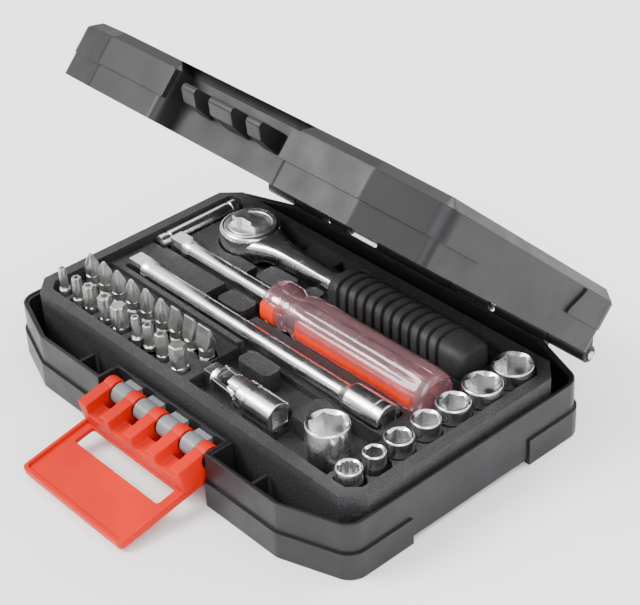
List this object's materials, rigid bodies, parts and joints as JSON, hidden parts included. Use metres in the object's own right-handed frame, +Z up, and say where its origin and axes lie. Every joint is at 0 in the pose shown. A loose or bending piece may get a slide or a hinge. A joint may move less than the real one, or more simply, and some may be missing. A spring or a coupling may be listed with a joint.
{
  "type": "socket wrench set in case",
  "caption": "Hinged moulded case with a latch, its tray holding a ratchet, spinner handle, extension, swivel joint, sockets and screwdriver bits.",
  "frame": {"origin": "middle of the underside, level with the feet", "axes": "+Z up, +X along the case to the sockets' end, -Y towards the latch"},
  "size_m": [0.192, 0.1833, 0.131],
  "materials": {
    "case_plastic": "satin dark grey",
    "tray_plastic": "stippled black",
    "latch_plastic": "satin orange red",
    "chrome": "polished",
    "bit_steel": "satin grey",
    "grip_rubber": "matt black",
    "clear_red": "clear, pale red",
    "core_orange": "glossy orange"
  },
  "bodies": {
    "base": {"base_shell": "case_plastic", "tray_insert": "tray_plastic", "lid_hinge_pin": "chrome"},
    "lid": {"lid_shell": "case_plastic"},
    "latch": {"latch": "latch_plastic"},
    "ratchet": {"ratchet_body": "chrome", "ratchet_grip": "grip_rubber", "ratchet_pawl": "bit_steel", "retaining_ring": "bit_steel"},
    "ratchet_gear": {"ratchet_drive_gear": "chrome"},
    "dial": {"direction_dial": "chrome"},
    "spinner": {"spinner_handle": "clear_red", "spinner_core": "core_orange", "spinner_shank": "chrome"},
    "extension": {"extension_bar": "chrome"},
    "t_bar": {"t_bar_rod": "chrome"},
    "swivel_socket": {"swivel_socket_end": "chrome"},
    "swivel_cross": {"swivel_cross": "bit_steel"},
    "swivel_drive": {"swivel_drive_end": "chrome"},
    "deep_socket": {"deep_socket": "chrome"},
    "socket_row": {"bit_adapter_socket": "chrome", "socket_1": "chrome", "socket_2": "chrome", "socket_3": "chrome", "socket_4": "chrome", "socket_5": "chrome", "socket_6": "chrome"},
    "bit_set": {"torx_bit_1": "bit_steel", "torx_bit_2": "bit_steel", "torx_bit_3": "bit_steel", "torx_bit_4": "bit_steel", "torx_bit_5": "bit_steel", "hex_bit_1": "bit_steel", "hex_bit_2": "bit_steel", "hex_bit_3": "bit_steel", "hex_bit_4": "bit_steel", "cross_bit_1": "bit_steel", "cross_bit_2": "bit_steel", "cross_bit_3": "bit_steel", "pozi_bit_1": "bit_steel", "pozi_bit_2": "bit_steel", "pozi_bit_3": "bit_steel", "slot_bit_1": "bit_steel", "slot_bit_2": "bit_steel", "slot_bit_3": "bit_steel"}
  },
  "joints": [
    {"name": "lid_hinge", "type": "hinge", "parent": "base", "child": "lid", "pos_m": [0, 0.0695, 0.02335], "axis": [-1, 0, 0], "range_deg": [-43, 135]},
    {"name": "latch_pivot", "type": "hinge", "parent": "base", "child": "latch", "pos_m": [0, -0.0615, 0.018], "axis": [1, 0, 0], "range_deg": [-101, 14]},
    {"name": "ratchet_lift", "type": "slide", "parent": "base", "child": "ratchet", "axis": [0, 0, 1], "range_m": [0, 0.024]},
    {"name": "ratchet_gear_turn", "type": "hinge", "parent": "ratchet", "child": "ratchet_gear", "pos_m": [-0.059, 0.03241, 0.0245], "axis": [0, 0, 1], "continuous": true},
    {"name": "direction_dial_turn", "type": "hinge", "parent": "ratchet", "child": "dial", "pos_m": [-0.059, 0.03241, 0.033], "axis": [0, 0, 1], "range_deg": [0, 60]},
    {"name": "spinner_lift", "type": "slide", "parent": "base", "child": "spinner", "axis": [0, 0, 1], "range_m": [0, 0.02]},
    {"name": "extension_lift", "type": "slide", "parent": "base", "child": "extension", "axis": [0, 0, 1], "range_m": [0, 0.02]},
    {"name": "t_bar_lift", "type": "slide", "parent": "base", "child": "t_bar", "axis": [0, 0, 1], "range_m": [0, 0.02]},
    {"name": "swivel_lift", "type": "slide", "parent": "base", "child": "swivel_socket", "axis": [0, 0, 1], "range_m": [0, 0.02]},
    {"name": "swivel_upright_pin", "type": "hinge", "parent": "swivel_socket", "child": "swivel_cross", "pos_m": [0.0152, -0.03638, 0.026], "axis": [0, 0, 1], "range_deg": [-12, 12]},
    {"name": "swivel_level_pin", "type": "hinge", "parent": "swivel_cross", "child": "swivel_drive", "pos_m": [0.0152, -0.03638, 0.026], "axis": [0, 1, 0], "range_deg": [0, 40]},
    {"name": "deep_socket_lift", "type": "slide", "parent": "base", "child": "deep_socket", "axis": [0, 0, 1], "range_m": [0, 0.028]},
    {"name": "socket_row_lift", "type": "slide", "parent": "base", "child": "socket_row", "axis": [0, 0, 1], "range_m": [0, 0.026]},
    {"name": "bit_set_lift", "type": "slide", "parent": "base", "child": "bit_set", "axis": [0, 0, 1], "range_m": [0, 0.02]}
  ]
}
